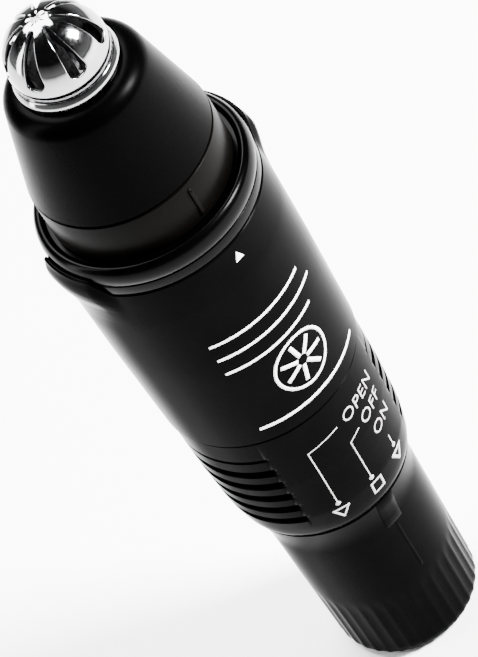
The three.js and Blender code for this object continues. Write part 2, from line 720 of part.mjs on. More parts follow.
const RETAINER_R = 6.6;
add("blade_retainer", tube(SKIRT_R + FIT, RETAINER_R, SKIRT_Z, SKIRT_Z + 1.0), GREY);

const BAND_R = 11.38;
const BAND_BORE = SPIGOT_R + GAP;
const INDEX_WIDTH = 0.6;
const INDEX_HEIGHT = 0.35;
function headCollar() {
  const band = turned(
    [
      [BAND_BORE, HEAD_Z],
      [BAND_R, HEAD_Z],
      [BAND_R, CONE_Z - GAP / 2],
      [BAND_BORE, CONE_Z - GAP / 2],
    ],
    OUTER_SEGMENTS,
  );
  const index = box(INDEX_WIDTH, 1, HEAD_Z + 0.5, CONE_Z - 1.0, 0, -(BAND_R + INDEX_HEIGHT - 0.5));
  return join(band, index);
}
add("head_collar", headCollar(), BLACK);

export default trimmer;
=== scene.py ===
"""The looks of a battery nose hair trimmer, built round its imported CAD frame.

Azimuths are in degrees from the marked front (-Y) towards +X. Lengths are in metres, written as millimetres
times MM.
"""

import json
import math

import bmesh
import bpy
from mathutils import Matrix, Vector


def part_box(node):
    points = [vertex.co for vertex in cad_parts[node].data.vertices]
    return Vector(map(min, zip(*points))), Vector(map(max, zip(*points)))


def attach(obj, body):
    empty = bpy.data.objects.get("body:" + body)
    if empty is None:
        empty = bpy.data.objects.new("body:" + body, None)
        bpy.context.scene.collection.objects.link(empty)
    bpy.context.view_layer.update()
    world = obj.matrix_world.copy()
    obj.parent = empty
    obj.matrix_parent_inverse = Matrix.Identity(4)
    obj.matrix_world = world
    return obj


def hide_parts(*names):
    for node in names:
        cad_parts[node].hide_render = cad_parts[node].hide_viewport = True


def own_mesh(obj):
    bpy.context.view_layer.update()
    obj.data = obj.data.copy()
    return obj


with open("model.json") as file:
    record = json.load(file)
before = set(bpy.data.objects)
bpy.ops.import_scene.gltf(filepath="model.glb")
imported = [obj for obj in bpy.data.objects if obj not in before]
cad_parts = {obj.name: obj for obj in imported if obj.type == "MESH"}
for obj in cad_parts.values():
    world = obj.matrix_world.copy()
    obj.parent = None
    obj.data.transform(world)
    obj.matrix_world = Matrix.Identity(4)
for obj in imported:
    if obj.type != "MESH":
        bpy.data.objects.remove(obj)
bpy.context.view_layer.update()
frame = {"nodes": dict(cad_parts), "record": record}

MM = 0.001
ROUND = 144  # segments round a visible shell
SHARP_DEG = 32  # edges steeper than this stay crisp
WELD = 1e-7  # points of a finished piece closer than this become one
AXIS_WELD = 1e-8  # the same for a fresh turned skin, whose ends meet on the axis
SEAM = 0.3 * MM  # open line between two shells of the body


# ---- Sizes from the frame ----
def heights(node):
    """Lowest and highest point of a CAD node."""
    low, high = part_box(node)
    return low[2], high[2]


def reach(node):
    """How far a CAD node goes from the axis towards the back, where nothing stands proud of it."""
    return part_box(node)[1][1]


NECK_TOP = heights("rear_cap")[1]
SLEEVE_FOOT, SLEEVE_TOP = heights("grip_sleeve")
BARREL_FOOT = SLEEVE_TOP + SEAM
COLLAR_FOOT, COLLAR_TOP = heights("collar")
BARREL_TOP = COLLAR_FOOT - SEAM
EAR_TOP = heights("barrel")[1]
BAND_FOOT, BAND_TOP = heights("head_collar")
CONE_FOOT, CONE_TOP = heights("head_cap")
BEZEL_FOOT, BEZEL_TOP = heights("head_bezel")
BLADE_FOOT, BLADE_TOP = heights("outer_blade")
DOME_R = reach("outer_blade")
DOME_CENTRE = BLADE_TOP - DOME_R
COLLAR_R = reach("collar")
BAND_R = reach("head_collar")
CONE_R = reach("head_cap")
BEZEL_R = reach("head_bezel")


# ---- Mesh helpers ----
def smoothstep(t):
    """0 below 0, 1 above 1, and a smooth S between."""
    t = min(max(t, 0.0), 1.0)
    return t * t * (3 - 2 * t)


def mix(a, b, t):
    """a at 0, b at 1, and a straight line between."""
    return a + (b - a) * t


def on_ring(radius, azimuth, height):
    """A point at an azimuth in degrees round the axis."""
    a = math.radians(azimuth)
    return Vector((radius * math.sin(a), -radius * math.cos(a), height))


def on_sphere(azimuth, elevation):
    """The unit vector at an azimuth and an elevation in degrees."""
    rise = math.radians(elevation)
    return on_ring(math.cos(rise), azimuth, math.sin(rise))


def from_side(azimuth):
    """Degrees between an azimuth and the nearer side of the body."""
    return abs(90 - abs((azimuth + 180) % 360 - 180))


def radius_at(profile, height):
    """The radius at a height on a profile of (radius, height) points that goes up."""
    for (r0, z0), (r1, z1) in zip(profile, profile[1:]):
        if height <= z1:
            return mix(r0, r1, (height - z0) / (z1 - z0))
    return profile[-1][0]


def rounded(points, steps):
    """Turns (radius, height, fillet) corners into (radius, height) points, with a curve at each fillet."""
    corners = [Vector(p[:2]) for p in points]
    outline = []
    for i, (radius, height, fillet) in enumerate(points):
        if fillet == 0:
            outline.append((radius, height))
            continue
        corner = corners[i]
        before = corner + (corners[i - 1] - corner).normalized() * fillet
        after = corner + (corners[(i + 1) % len(points)] - corner).normalized() * fillet
        for step in range(steps + 1):
            t = step / steps
            p = before * (1 - t) ** 2 + corner * 2 * t * (1 - t) + after * t ** 2
            outline.append((p.x, p.y))
    return outline


def finer(profile, step):
    """The same profile with no stretch longer than step."""
    outline = []
    for (r0, z0), (r1, z1) in zip(profile, profile[1:]):
        count = max(1, math.ceil(math.hypot(r1 - r0, z1 - z0) / step))
        outline += [(mix(r0, r1, i / count), mix(z0, z1, i / count)) for i in range(count)]
    return outline + [profile[-1]]


def place(bm, name, material, body, replaces=(), sharp=SHARP_DEG):
    """Makes an object of a bmesh, gives it its material, and rides it on its CAD body."""
    bmesh.ops.remove_doubles(bm, verts=bm.verts, dist=WELD)
    bmesh.ops.recalc_face_normals(bm, faces=bm.faces)
    mesh = bpy.data.meshes.new(name)
    bm.to_mesh(mesh)
    bm.free()
    mesh.shade_smooth()
    mesh.set_sharp_from_angle(angle=math.radians(sharp))
    mesh.materials.append(material)
    piece = bpy.data.objects.new(name, mesh)
    bpy.context.scene.collection.objects.link(piece)
    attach(piece, body)
    if replaces:
        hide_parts(*replaces)
    return piece


def turn(bm, profile, segments=ROUND, shape=None, azimuths=None):
    """Adds a closed skin turned about Z. shape(azimuth, radius, height) may move each point."""
    azimuths = azimuths or [360 * i / segments for i in range(segments)]
    columns = []
    for azimuth in azimuths:
        column = []
        for radius, height in profile:
            if shape:
                radius, height = shape(azimuth, radius, height)
            column.append(bm.verts.new(on_ring(radius, azimuth, height)))
        columns.append(column)
    rows = len(profile)
    closed = profile[0][0] > 0 or profile[-1][0] > 0
    for i, column in enumerate(columns):
        following = columns[(i + 1) % len(columns)]
        for j in range(rows if closed else rows - 1):
            k = (j + 1) % rows
            bm.faces.new([column[j], following[j], following[k], column[k]])
    bmesh.ops.remove_doubles(bm, verts=bm.verts, dist=AXIS_WELD)


def turned(name, profile, material, body, replaces=(), shape=None, azimuths=None, segments=ROUND):
    """Makes one turned piece."""
    bm = bmesh.new()
    turn(bm, profile, segments, shape, azimuths)
    return place(bm, name, material, body, replaces)


def bevel(piece, width):
    """Rounds the crisp edges of a piece."""
    modifier = piece.modifiers.new("bevel", "BEVEL")
    modifier.width = width
    modifier.segments = 3
    modifier.limit_method = "ANGLE"
    modifier.angle_limit = math.radians(30)
    modifier.harden_normals = True


BAR_SUNK = 0.15 * MM  # how far the foot of a bar goes into the surface it stands on
BAR_ACROSS = (-1, -0.7, -0.35, 0, 0.35, 0.7, 1)  # places across a bar, in half widths
BAR_END_LIFT = 0.02  # share of the height left at the very ends
BAR_CROWN = 0.85  # how far the top falls towards the edges


def wrapped_bar(bm, azimuth, width, low, high, surface, proud, rows=24):
    """Adds a raised bar along the body: surface(height) is the radius it stands on, proud its height."""
    half = math.degrees(width / 2 / surface((low + high) / 2))
    rings = []
    for row in range(rows + 1):
        z = mix(low, high, row / rows)
        from_end = min(z - low, high - z) / (width / 2)
        lift = proud * math.sqrt(min(1, max(from_end, BAR_END_LIFT)))
        top = []
        for s in BAR_ACROSS:
            radius = surface(z) + lift * math.sqrt(max(0, 1 - BAR_CROWN * abs(s) ** 4))
            top.append(bm.verts.new(on_ring(radius, azimuth + half * s, z)))
        foot = [bm.verts.new(on_ring(surface(z) - BAR_SUNK, azimuth + half * s, z)) for s in (1, -1)]
        rings.append(top + foot)
    for ring, following in zip(rings, rings[1:]):
        for i in range(len(ring)):
            k = (i + 1) % len(ring)
            bm.faces.new([ring[i], ring[k], following[k], following[i]])
    bm.faces.new(rings[0][::-1])
    bm.faces.new(rings[-1])


# ---- Materials ----
NOISE_LOW, NOISE_HIGH = 0.3, 0.7  # where nearly all of a noise texture lies
GRAIN_DEPTH = 0.004 * MM
WEAR_DEPTH = 0.001 * MM
MARKS_SCALE = 180  # handling marks, in cycles per metre
CLOUD_SCALE = 300  # uneven tone of metal, in cycles per metre


def grey(level):
    """A neutral colour."""
    return (level, level, level)


def new_material(name):
    """An empty node material, with its nodes, links and shader."""
    material = bpy.data.materials.new(name)
    material.use_nodes = True
    nodes = material.node_tree.nodes
    return material, nodes, material.node_tree.links, nodes["Principled BSDF"]


def noise(nodes, links, scale, detail=3.0, stretch=None):
    """A noise texture in the piece's own frame. scale is in cycles per metre."""
    place_at = nodes.new("ShaderNodeTexCoord")
    texture = nodes.new("ShaderNodeTexNoise")
    texture.inputs["Scale"].default_value = scale
    texture.inputs["Detail"].default_value = detail
    source = place_at.outputs["Object"]
    if stretch:
        mapping = nodes.new("ShaderNodeMapping")
        mapping.inputs["Scale"].default_value = stretch
        links.new(source, mapping.inputs["Vector"])
        source = mapping.outputs["Vector"]
    links.new(source, texture.inputs["Vector"])
    return texture.outputs["Fac"]


def spread(nodes, links, source, low, high):
    """Maps a noise to low to high."""
    node = nodes.new("ShaderNodeMapRange")
    node.inputs["From Min"].default_value = NOISE_LOW
    node.inputs["From Max"].default_value = NOISE_HIGH
    node.inputs["To Min"].default_value = low
    node.inputs["To Max"].default_value = high
    links.new(source, node.inputs["Value"])
    return node.outputs["Result"]


def tint(nodes, links, source, dark, light):
    """Maps a noise to colours from dark to light."""
    ramp = nodes.new("ShaderNodeValToRGB")
    ramp.color_ramp.elements[0].position = NOISE_LOW
    ramp.color_ramp.elements[1].position = NOISE_HIGH
    ramp.color_ramp.elements[0].color = (*dark, 1)
    ramp.color_ramp.elements[1].color = (*light, 1)
    links.new(source, ramp.inputs["Fac"])
    return ramp.outputs["Color"]


def bump(nodes, links, source, shader, distance, strength):
    """Gives a shader the relief of a texture."""
    node = nodes.new("ShaderNodeBump")
    node.inputs["Distance"].default_value = distance
    node.inputs["Strength"].default_value = strength
    links.new(source, node.inputs["Height"])
    links.new(node.outputs["Normal"], shader.inputs["Normal"])


def moulded(name, dark, light, roughness, grain=9000, relief=0.25, specular=0.5):
    """Moulded plastic: a fine spark-eroded grain, faint handling marks and a slightly uneven colour."""
    material, nodes, links, shader = new_material(name)
    fine = noise(nodes, links, grain, 2.0)
    marks = noise(nodes, links, MARKS_SCALE, 5.0)
    links.new(tint(nodes, links, marks, dark, light), shader.inputs["Base Color"])
    links.new(spread(nodes, links, marks, *roughness), shader.inputs["Roughness"])
    bump(nodes, links, fine, shader, GRAIN_DEPTH, relief)
    shader.inputs["Specular IOR Level"].default_value = specular
    return material


def metal(name, dark, light, roughness, stretch=None, grain=2500, relief=0.1):
    """Bare or plated metal with fine wear in its roughness. stretch draws the wear out along an axis."""
    material, nodes, links, shader = new_material(name)
    wear = noise(nodes, links, grain, 4.0, stretch)
    cloud = noise(nodes, links, CLOUD_SCALE, 3.0)
    links.new(tint(nodes, links, cloud, dark, light), shader.inputs["Base Color"])
    links.new(spread(nodes, links, wear, *roughness), shader.inputs["Roughness"])
    bump(nodes, links, wear, shader, WEAR_DEPTH, relief)
    shader.inputs["Metallic"].default_value = 1.0
    return material


SATIN_BLACK = moulded("satin_black", grey(0.0004), grey(0.0007), (0.17, 0.23), relief=0.05, specular=0.0035)
MATTE_BLACK = moulded("matte_black", grey(0.0001), grey(0.0002), (0.25, 0.32), relief=0.1, specular=0.007)
BAND_BLACK = moulded(
    "band_black", (0.0006, 0.0005, 0.0004), (0.001, 0.0008, 0.0007), (0.3, 0.38), relief=0.1, specular=0.01
)
COLLAR_BLACK = moulded("collar_black", grey(0.0001), grey(0.0002), (0.17, 0.24), relief=0.05, specular=0.02)
GREY = moulded("grey_plastic", (0.02, 0.0205, 0.022), (0.03, 0.0305, 0.032), (0.4, 0.5))
WHITE = moulded("white_plastic", (0.2, 0.195, 0.18), (0.27, 0.265, 0.25), (0.3, 0.4), relief=0.1)
PRINT = moulded("white_print", (0.74, 0.74, 0.73), (0.86, 0.86, 0.85), (0.45, 0.55), grain=20000)
SWITCH_PRINT = moulded("switch_print", (0.26, 0.26, 0.255), (0.33, 0.33, 0.325), (0.45, 0.55), grain=20000)
RUBBER = moulded("rubber", grey(0.012), grey(0.02), (0.6, 0.75), relief=0.4)
CELL = moulded(
    "cell_label", (0.006, 0.022, 0.06), (0.009, 0.03, 0.075), (0.2, 0.3), relief=0.05, specular=0.3
)
FERRITE = moulded("ferrite", (0.02, 0.02, 0.022), (0.04, 0.04, 0.043), (0.6, 0.75), grain=4000, relief=0.6)
CHROME = metal("chrome", (0.21, 0.21, 0.215), (0.27, 0.27, 0.275), (0.05, 0.12), relief=0.02)
# Inside of the dome and the deep half of each slot wall: a near-black metal, painted shade for the hollow of
# the head
BLADE_INSIDE_PAINTED_SHADE = metal("blade_inside_painted_shade", (0.03, 0.03, 0.031), (0.05, 0.05, 0.051), (0.3, 0.45))
CUTTER_STEEL = metal("cutter_steel", (0.09, 0.09, 0.092), (0.14, 0.14, 0.142), (0.25, 0.4))
STEEL = metal("steel", (0.2, 0.2, 0.205), (0.28, 0.28, 0.285), (0.2, 0.34), stretch=(1, 1, 0.08))
BRASS = metal("brass", (0.33, 0.22, 0.08), (0.4, 0.28, 0.11), (0.2, 0.34))
COPPER = metal(
    "copper", (0.28, 0.1, 0.035), (0.36, 0.15, 0.06), (0.24, 0.38), stretch=(1, 1, 12), grain=900, relief=0.6
)

BY_SLOT = {
    "satin_black": SATIN_BLACK,
    "matte_black": MATTE_BLACK,
    "collar_black": COLLAR_BLACK,
    "chrome": CHROME,
    "steel": STEEL,
    "brass": BRASS,
    "copper": COPPER,
    "grey_plastic": GREY,
    "white_plastic": WHITE,
    "white_print": PRINT,
    "rubber": RUBBER,
    "cell_label": CELL,
    "ferrite": FERRITE,
}


def dress_frame():
    """Every CAD node takes the procedural material of its slot."""
    slots = {part["node"]: part["material_slot"] for part in frame["record"]["subparts"]}
    for name, node in frame["nodes"].items():
        node.data.materials.clear()
        node.data.materials.append(CUTTER_STEEL if name == "inner_blade" else BY_SLOT[slots[name]])


# ---- Rear cap ----
CAP_FOOT_R = 9.27 * MM
CAP_R = 9.8 * MM
CAP_RIM = SLEEVE_FOOT - SEAM
CAP_RIM_R = 10.75 * MM
CAP_FLARE = CAP_RIM - 5.1 * MM
CAP_BORE = 7.8 * MM
CAP_FLOOR = 2.0 * MM
NECK_R = 9.0 * MM
FLUTES = 36
FLUTE_TOP = 12.6 * MM
FLUTE_DEPTH = 0.1 * MM
FLUTE_SKIN = 1.6 * MM  # only points this close to the outer radius move
FLUTE_TOP_FADE = 3 * MM
FLUTE_FOOT_FADE = 0.9 * MM
FOOT_ROUND = 1.5 * MM
SEAL_LOW, SEAL_HIGH = 32.0 * MM, 32.8 * MM
SEAL_DEPTH = 0.4 * MM
CAP_ROWS = 70
RIM_EDGE = 0.15 * MM
MARKER_LENGTH = 5.6 * MM


def cap_radius(z):
    """The rear cap's outer radius at a height."""
    if z < CAP_FLARE:
        return mix(CAP_FOOT_R, CAP_R, z / CAP_FLARE)
    share = (z - CAP_FLARE) / (CAP_RIM - CAP_FLARE)
    return mix(CAP_R, CAP_RIM_R, 2 * smoothstep(share / 2))


def flute(azimuth, radius, height):
    """Shallow flutes round the foot of the cap, with round upper ends."""
    if radius <= CAP_FOOT_R - FLUTE_SKIN or height >= FLUTE_TOP:
        return radius, height
    wave = 0.5 + 0.5 * math.cos(math.radians(azimuth * FLUTES))
    fade = smoothstep((FLUTE_TOP - height) / FLUTE_TOP_FADE) * smoothstep(height / FLUTE_FOOT_FADE)
    return radius - FLUTE_DEPTH * (1 - wave ** 2) * fade, height


def build_rear_cap():
    levels = [mix(FOOT_ROUND + 0.1 * MM, CAP_RIM - RIM_EDGE, i / CAP_ROWS) for i in range(CAP_ROWS + 1)]
    foot_round = [
        (CAP_FOOT_R - FOOT_ROUND + FOOT_ROUND * math.sin(a), FOOT_ROUND - FOOT_ROUND * math.cos(a))
        for a in [math.radians(90 * i / 8) for i in range(8)]
    ]
    profile = [(0, 0), (4 * MM, 0), *foot_round, *[(cap_radius(z), z) for z in levels]]
    profile += [(CAP_RIM_R - RIM_EDGE, CAP_RIM)]
    profile += rounded(
        [
            (NECK_R, CAP_RIM, 0),
            (NECK_R, SEAL_LOW, 0.05 * MM),
            (NECK_R - SEAL_DEPTH, SEAL_LOW, 0.05 * MM),
            (NECK_R - SEAL_DEPTH, SEAL_HIGH, 0.05 * MM),
            (NECK_R, SEAL_HIGH, 0.05 * MM),
            (NECK_R, NECK_TOP, 0.25 * MM),
            (CAP_BORE, NECK_TOP, 0.2 * MM),
            (CAP_BORE, CAP_FLOOR, 0),
            (0, CAP_FLOOR, 0),
        ],
        2,
    )
    around = FLUTES * 8
    turned("cap_tube", profile, SATIN_BLACK, "rear_cap", ["rear_cap"], flute, segments=around)
    bm = bmesh.new()
    foot, top = CAP_RIM - MARKER_LENGTH, CAP_RIM - 0.05 * MM
    wrapped_bar(bm, azimuth=0, width=2.6 * MM, low=foot, high=top, surface=cap_radius, proud=0.32 * MM)
    place(bm, "cap_marker", SATIN_BLACK, "rear_cap")
    bm = bmesh.new()
    foot, top = FLUTE_TOP + 1 * MM, CAP_RIM - 5.8 * MM
    wrapped_bar(bm, azimuth=0, width=0.4 * MM, low=foot, high=top, surface=cap_radius, proud=0.08 * MM)
    place(bm, "cap_marker_line", SATIN_BLACK, "rear_cap")


# ---- Grip sleeve ----
SLEEVE_BORE = 9.3 * MM
SLEEVE_WIDE_BORE = 10.2 * MM
SLEEVE_BORE_STEP = 36.3 * MM
SLEEVE_COLUMNS = 144
SLEEVE_OUTLINE = [
    (10.75 * MM, 0.0),
    (11.0 * MM, 0.35 * MM),
    (11.25 * MM, 1.1 * MM),
    (11.5 * MM, 2.4 * MM),
    (11.83 * MM, 4.5 * MM),
    (12.2 * MM, 11.6 * MM),
    (12.36 * MM, SLEEVE_TOP - SLEEVE_FOOT - 0.15 * MM),
    (12.22 * MM, SLEEVE_TOP - SLEEVE_FOOT),
]
GROOVES = 5
GROOVE_FIRST = 33.5 * MM
GROOVE_PITCH = 2.54 * MM
GROOVE_HALF = 0.68 * MM
GROOVE_DEPTH = 0.72 * MM
GROOVE_START_DEG = 45
GROOVE_RAMP_DEG = 3.5
HAIRLINE_HALF = 0.28 * MM
HAIRLINE_DEPTH = 0.28 * MM
GROOVE_WALL = 0.45  # share of a groove's half height taken by its sloping wall
GROOVE_LEVELS = (-1, -0.88, -0.77, -0.66, -0.55, 0, 0.55, 0.66, 0.77, 0.88, 1)
ON_SKIN = 0.05 * MM  # only points this close to the outer skin sink


def sleeve_radius(z):
    """The sleeve's outer radius at a height, before the grooves."""
    return radius_at(SLEEVE_OUTLINE, z - SLEEVE_FOOT)


def groove_list():
    """(height, half height, depth) of each groove."""
    deep = [(GROOVE_FIRST + i * GROOVE_PITCH, GROOVE_HALF, GROOVE_DEPTH) for i in range(GROOVES)]
    return deep + [(GROOVE_FIRST + GROOVES * GROOVE_PITCH, HAIRLINE_HALF, HAIRLINE_DEPTH)]


def groove(azimuth, radius, height):
    """Sinks the outer skin where a groove runs, on both sides."""
    if radius < sleeve_radius(height) - ON_SKIN:
        return radius, height
    along = smoothstep((90 - GROOVE_START_DEG - from_side(azimuth)) / GROOVE_RAMP_DEG)
    for centre, half, depth in groove_list():
        off = abs(height - centre) / half
        if off < 1:
            return radius - depth * along * smoothstep((1 - off) / GROOVE_WALL), height
    return radius, height


def build_grip_sleeve():
    levels = {SLEEVE_FOOT + up for _, up in SLEEVE_OUTLINE}
    for centre, half, _ in groove_list():
        levels |= {centre + half * s for s in GROOVE_LEVELS}
    outer = [(sleeve_radius(z), z) for z in sorted(levels)]
    inner = [
        (SLEEVE_WIDE_BORE, SLEEVE_TOP),
        (SLEEVE_WIDE_BORE, SLEEVE_BORE_STEP),
        (SLEEVE_BORE, SLEEVE_BORE_STEP),
        (SLEEVE_BORE, SLEEVE_FOOT),
    ]
    azimuths = [360 * i / SLEEVE_COLUMNS for i in range(SLEEVE_COLUMNS)]
    ramps = [GROOVE_START_DEG + GROOVE_RAMP_DEG * s for s in (0, 0.25, 0.5, 0.75, 1)]
    azimuths += [side * a + flip for side in (1, -1) for a in ramps for flip in (0, 180)]
    azimuths = sorted({round(a % 360, 4) for a in azimuths})
    profile = outer + inner
    turned("grip_shell", profile, SATIN_BLACK, "housing", ["grip_sleeve"], groove, azimuths)


# ---- Barrel ----
BARREL_FOOT_R = 12.6 * MM
BARREL_MIDDLE_R = 13.14 * MM
BARREL_MIDDLE = 65 * MM
BARREL_BULGE_R = 13.33 * MM
BARREL_R = 13.25 * MM
BARREL_BORE = 11.3 * MM
EAR_FOOT = 75 * MM
EAR_HALF_DEG = 25
EAR_FADE_DEG = 10
EAR_INNER_R = 13.6 * MM
EAR_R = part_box("barrel")[1][0]
BARREL_FIRST_ROW = 51 * MM
BARREL_ROWS, EAR_ROWS = 16, 20
BARREL_EDGE = 0.1 * MM


def barrel_radius(z):
    """The barrel's outer radius at a height, away from the ears."""
    if z < BARREL_MIDDLE:
        return mix(BARREL_FOOT_R, BARREL_MIDDLE_R, (z - BARREL_FOOT) / (BARREL_MIDDLE - BARREL_FOOT))
    if z < EAR_FOOT:
        return mix(BARREL_MIDDLE_R, BARREL_BULGE_R, (z - BARREL_MIDDLE) / (EAR_FOOT - BARREL_MIDDLE))
    return mix(BARREL_BULGE_R, BARREL_R, (z - EAR_FOOT) / (BARREL_TOP - EAR_FOOT))


def ear_share(azimuth):
    """1 in the middle of an ear, 0 away from both."""
    return smoothstep((EAR_HALF_DEG - from_side(azimuth)) / EAR_FADE_DEG)


def ear_radius(z):
    """The outer radius of an ear at its middle: it swells, then closes in on the collar."""
    out = EAR_R - BARREL_R
    profile = [
        (BARREL_BULGE_R, EAR_FOOT),
        (BARREL_R + 0.2 * out, EAR_FOOT + 1.5 * MM),
        (BARREL_R + 0.4 * out, EAR_FOOT + 3 * MM),
        (BARREL_R + 0.85 * out, 80 * MM),
        (EAR_R - 0.01 * MM, 81.3 * MM),
        (BARREL_R + 0.9 * out, 82.3 * MM),
        (BARREL_R + 0.65 * out, EAR_TOP - 0.5 * MM),
        (EAR_INNER_R + 0.35 * MM, EAR_TOP - 0.1 * MM),
        (EAR_INNER_R + 0.15 * MM, EAR_TOP),
    ]
    return radius_at(profile, z)


def barrel_shape(azimuth, radius, height):
    """Swells the outer skin into the ears, and lifts their top edge beside the collar."""
    share = ear_share(azimuth)
    if height <= EAR_FOOT or share == 0 or radius < BARREL_BORE + 0.3 * MM:
        return radius, height
    up = (height - EAR_FOOT) / (BARREL_TOP - EAR_FOOT)
    rise = (EAR_TOP - BARREL_TOP) * share * up
    if radius < BARREL_R - 0.2 * MM:
        return mix(radius, EAR_INNER_R, share), height + (rise if height == BARREL_TOP else 0)
    full_height = height + (EAR_TOP - BARREL_TOP) * up
    return mix(radius, ear_radius(full_height), share), height + rise


def build_barrel():
    outer = [(BARREL_FOOT_R - 0.12 * MM, BARREL_FOOT), (BARREL_FOOT_R, BARREL_FOOT + 0.12 * MM)]
    levels = [mix(BARREL_FIRST_ROW, EAR_FOOT, i / BARREL_ROWS) for i in range(BARREL_ROWS + 1)]
    levels += [mix(EAR_FOOT, BARREL_TOP - BARREL_EDGE, i / EAR_ROWS) for i in range(1, EAR_ROWS + 1)]
    outer += [(barrel_radius(z), z) for z in levels]
    lip = [(BARREL_R - BARREL_EDGE, BARREL_TOP), (BARREL_R - 0.24 * MM, BARREL_TOP)]
    inner = [
        (BARREL_R - 0.5 * MM, BARREL_TOP - BARREL_EDGE),
        (BARREL_BORE, BARREL_TOP - BARREL_EDGE),
        (BARREL_BORE, BARREL_FOOT),
    ]
    profile = outer + lip + inner
    turned(
        "barrel_shell", profile, SATIN_BLACK, "housing", ["barrel"], barrel_shape, segments=180
    )


def build_pointer():
    """The small raised triangle that the head's rib points at."""
    size = 1.3 * MM
    middle = 78.7 * MM
    foot_r, face_r = 13.0 * MM, 13.41 * MM
    bm = bmesh.new()
    rings = []
    for radius in (foot_r, face_r):
        corners = [(-size / 2, -size / 2), (size / 2, -size / 2), (0, size / 2)]
        rings.append([bm.verts.new((x, -radius, middle + z)) for x, z in corners])
    for i in range(3):
        k = (i + 1) % 3
        bm.faces.new([rings[0][i], rings[0][k], rings[1][k], rings[1][i]])
    bm.faces.new(rings[0])
    bm.faces.new(rings[1])
    bevel(place(bm, "pointer", PRINT, "housing", ["pointer_mark"]), 0.06 * MM)


# ---- Collar and head ----
COLLAR_BORE = 10.4 * MM


def build_collar():
    """A rim over the barrel, and a round bead above it."""
    rim_top = COLLAR_FOOT + 1.3 * MM
    rim_r = 13.2 * MM
    crest_r = 12.5 * MM
    middle = 83.4 * MM
    steps = 26
    bead = [
        (crest_r + (COLLAR_R - crest_r) * math.cos(a), middle + (COLLAR_TOP - middle) * math.sin(a))
        for a in [math.radians(mix(-40, 138, i / steps)) for i in range(steps + 1)]
    ]
    profile = rounded(
        [
            (COLLAR_BORE, COLLAR_FOOT, 0),
            (rim_r, COLLAR_FOOT, 0.12 * MM),
            (rim_r, rim_top, 0.1 * MM),
            (rim_r - 0.2 * MM, rim_top + 0.03 * MM, 0),
        ],
        3,
    )
    profile += bead + [(COLLAR_BORE, bead[-1][1])]
    turned("collar_ring", profile, COLLAR_BLACK, "housing", ["collar"])


def build_head_collar():
    bore = 9.7 * MM
    profile = rounded(
        [
            (bore, BAND_FOOT, 0),
            (BAND_R, BAND_FOOT, 0.12 * MM),
            (BAND_R, BAND_TOP, 0.1 * MM),
            (bore, BAND_TOP, 0),
        ],
        3,
    )
    turned("band_shell", profile, BAND_BLACK, "head_collar", ["head_collar"])
    bm = bmesh.new()
    foot, top = BAND_FOOT + 0.6 * MM, BAND_TOP - 0.9 * MM
    wrapped_bar(bm, 0, width=0.55 * MM, low=foot, high=top, surface=lambda z: BAND_R, proud=0.3 * MM, rows=40)
    place(bm, "band_index", BAND_BLACK, "head_collar")


def build_head_cap():
    top_round = 2.6 * MM
    round_r = 6.2 * MM
    wall = 1.2 * MM
    mouth = 5.6 * MM
    top_centre = CONE_TOP - 0.05 * MM - top_round
    shoulder = [
        (round_r + top_round * math.cos(a), top_centre + top_round * math.sin(a))
        for a in [math.radians(mix(14, 88, i / 14)) for i in range(15)]
    ]
    profile = [(CONE_R - wall, CONE_FOOT), (CONE_R - 0.1 * MM, CONE_FOOT), (CONE_R, CONE_FOOT + 0.1 * MM)]
    profile += finer([(CONE_R, CONE_FOOT + 0.1 * MM), shoulder[0]], 1.2 * MM)[1:] + shoulder[1:]
    profile += [(mouth, CONE_TOP), (mouth, CONE_TOP - 1.6 * MM)]
    profile += [(shoulder[0][0] - wall, shoulder[0][1] - 1 * MM)]
    turned("cone_shell", profile, MATTE_BLACK, "head", ["head_cap"])


def build_bezel():
    bore = 5.6 * MM
    profile = rounded(
        [
            (bore, BEZEL_FOOT, 0),
            (BEZEL_R, BEZEL_FOOT, 0.15 * MM),
            (BEZEL_R, mix(BEZEL_FOOT, BEZEL_TOP, 0.55), 0.2 * MM),
            (BEZEL_R - 0.35 * MM, BEZEL_TOP, 0.12 * MM),
            (bore, BEZEL_TOP, 0),
        ],
        5,
    )
    turned("bezel_ring", profile, CHROME, "head", ["head_bezel"])


# ---- Outer blade: a dome with slots, meshed so that each slot is a loop of edges on a true sphere ----
SLOTS = 7
SLOT_PHASE = -12
SECTOR = 360 / SLOTS
HUB_POLAR = 12  # polar angles are in degrees from the top of the dome
SLOT_POLAR = (16, 84)
SLOT_HALF = (0.32 * MM, 1.15 * MM)  # half widths at the top and at the bottom
SLOT_END = 0.8  # height of the round bottom end, against a half circle
RIM_POLAR = 89
SIDE_STEPS = 20
ACROSS_STEPS = 8
RINGS = 4
HUB_ROWS = 12
ROSETTE_DEPTH = 0.09 * MM
DOME_WALL = 0.42 * MM
SLOT_EDGE = 0.12 * MM
SLOT_EDGE_STEPS = 5
SKIRT_R = 5.5 * MM
DOME_SHARP_DEG = 60
# The inside faces of the dome take the near-black metal, painted shade
OUTSIDE, INSIDE = 0, 1  # material indices of the dome


def sector_frame():
    """(azimuth, polar) points round a sector's edge, anticlockwise from its near left corner."""
    half = SECTOR / 2
    points = []
    for i in range(ACROSS_STEPS):
        points.append((mix(-half, half, i / ACROSS_STEPS), RIM_POLAR))
    for i in range(SIDE_STEPS):
        points.append((half, mix(RIM_POLAR, HUB_POLAR, i / SIDE_STEPS)))
    for i in range(ACROSS_STEPS):
        points.append((mix(half, -half, i / ACROSS_STEPS), HUB_POLAR))
    for i in range(SIDE_STEPS):
        points.append((-half, mix(HUB_POLAR, RIM_POLAR, i / SIDE_STEPS)))
    return points


def slot_point(across, polar):
    """A point of the slot's edge, from its offset across the slot in metres."""
    return math.degrees(across / (DOME_R * math.sin(math.radians(polar)))), polar


